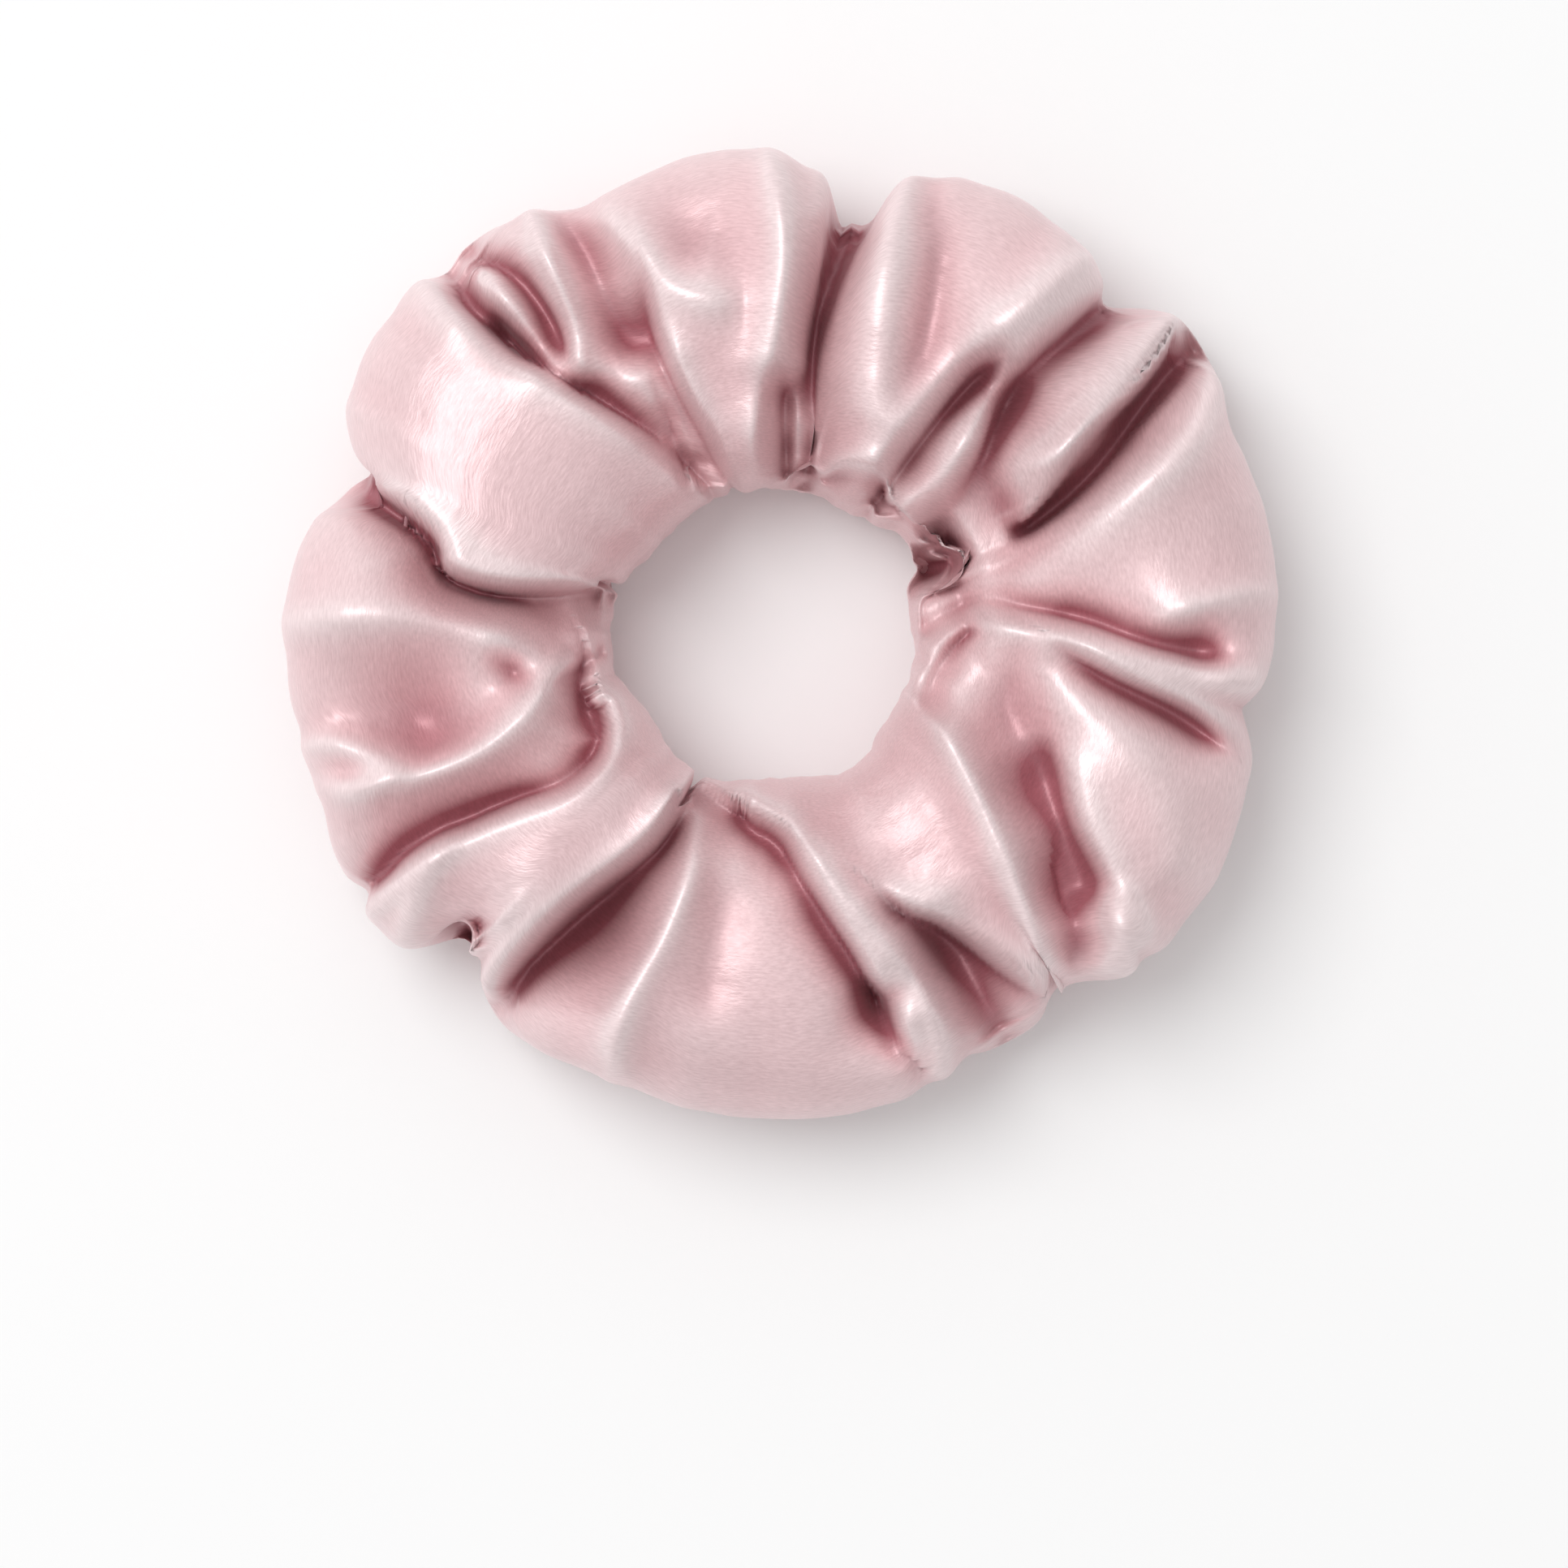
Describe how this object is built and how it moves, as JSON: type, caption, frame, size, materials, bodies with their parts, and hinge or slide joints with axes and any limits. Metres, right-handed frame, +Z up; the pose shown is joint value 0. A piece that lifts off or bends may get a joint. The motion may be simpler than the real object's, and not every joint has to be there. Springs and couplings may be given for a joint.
{
  "type": "hair scrunchie",
  "caption": "Gathered satin fabric ring around a flat elastic, for tying back hair; it stretches open and pulls itself closed.",
  "frame": {"origin": "centre of the cover's outline, on the surface it lies on", "axes": "+Z up through the hole, +X the way it is drawn open, +Y towards the top gather"},
  "size_m": [0.1152, 0.1123, 0.034],
  "materials": {
    "satin": "smooth polyester satin, soft sheen",
    "elastic": "braided flat elastic, matt",
    "elastic_thread": "spun polyester sewing thread",
    "cover_thread": "spun polyester sewing thread"
  },
  "bodies": {
    "left_end": {"gather_upper_left": "satin", "gather_left": "satin", "gather_lower_left": "satin", "elastic_band": "elastic", "elastic_join_thread": "elastic_thread", "long_seam_thread": "cover_thread", "closing_seam_thread": "cover_thread"},
    "right_end": {"gather_lower_right": "satin", "gather_right": "satin", "gather_right_small": "satin"},
    "upper_right_run": {"gather_upper_right": "satin"},
    "top_run": {"gather_top": "satin"},
    "bottom_left_run": {"gather_bottom_left": "satin"},
    "bottom_run": {"gather_bottom": "satin"},
    "bottom_right_run": {"gather_bottom_right": "satin"}
  },
  "joints": [
    {"name": "stretch", "type": "slide", "parent": "left_end", "child": "right_end", "axis": [1, 0, 0], "range_m": [0, 0.08], "stiffness_N_per_m": 50, "deforming": ["elastic_band", "long_seam_thread"]},
    {"name": "stretch_upper_right", "type": "slide", "parent": "left_end", "child": "upper_right_run", "axis": [1, 0, 0], "range_m": [0, 0.0661]},
    {"name": "stretch_top", "type": "slide", "parent": "left_end", "child": "top_run", "axis": [1, 0, 0], "range_m": [0, 0.0341]},
    {"name": "stretch_bottom_left", "type": "slide", "parent": "left_end", "child": "bottom_left_run", "axis": [1, 0, 0], "range_m": [0, 0.0133]},
    {"name": "stretch_bottom", "type": "slide", "parent": "left_end", "child": "bottom_run", "axis": [1, 0, 0], "range_m": [0, 0.0413]},
    {"name": "stretch_bottom_right", "type": "slide", "parent": "left_end", "child": "bottom_right_run", "axis": [1, 0, 0], "range_m": [0, 0.0661]}
  ],
  "couplings": [
    {"joint": "stretch_upper_right", "follows": "stretch", "ratio": 0.82},
    {"joint": "stretch_top", "follows": "stretch", "ratio": 0.42},
    {"joint": "stretch_bottom_left", "follows": "stretch", "ratio": 0.16},
    {"joint": "stretch_bottom", "follows": "stretch", "ratio": 0.51},
    {"joint": "stretch_bottom_right", "follows": "stretch", "ratio": 0.82}
  ]
}
